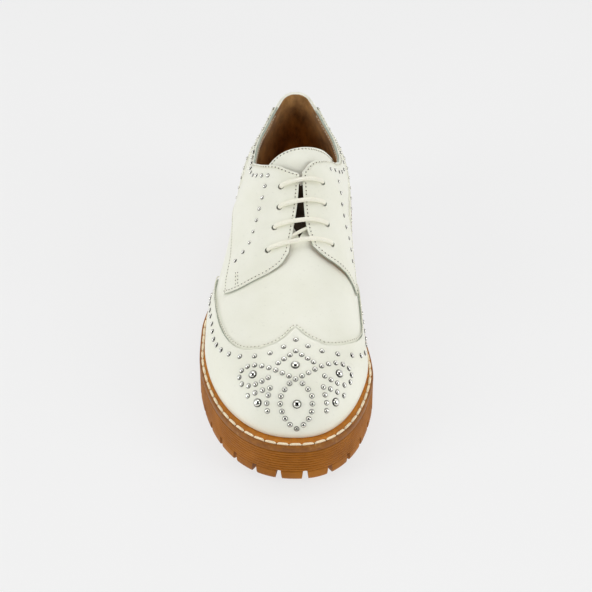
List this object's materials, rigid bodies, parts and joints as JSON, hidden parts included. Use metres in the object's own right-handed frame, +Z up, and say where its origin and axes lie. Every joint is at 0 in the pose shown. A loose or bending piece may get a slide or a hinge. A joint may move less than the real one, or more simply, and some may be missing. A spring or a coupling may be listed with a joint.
{
  "type": "hobnailed derby",
  "caption": "Right wing-tip derby shoe in off-white leather with dome studs in a brogue pattern, straight-bar lacing, tan welt and a thick ribbed, lugged sole; stands empty.",
  "frame": {"origin": "on the floor under the middle of the sole's outline", "axes": "+Z up, the toe points to -Y, the inner (medial) side of the right foot is +X"},
  "size_m": [0.1084, 0.2796, 0.1184],
  "materials": {
    "upper_leather": "smooth off-white calf leather, low gloss",
    "welt_leather": "tan welt leather, scuffed outer edge",
    "lining_leather": "brown lining leather, matt",
    "sole_rubber": "tan moulded rubber, satin",
    "lace_cotton": "cream round braided cotton",
    "stud_metal": "polished nickel-plated dome"
  },
  "bodies": {
    "root": {"outsole": "sole_rubber", "welt": "welt_leather", "insole": "lining_leather", "upper": "upper_leather", "wing_cap": "upper_leather", "quarter_lateral": "upper_leather", "quarter_medial": "upper_leather", "heel_counter": "upper_leather", "tongue": "upper_leather", "lace": "lace_cotton", "stud_large_1": "stud_metal", "stud_large_2": "stud_metal", "stud_large_3": "stud_metal", "stud_large_4": "stud_metal", "stud_large_5": "stud_metal", "stud_large_6": "stud_metal"}
  },
  "joints": []
}
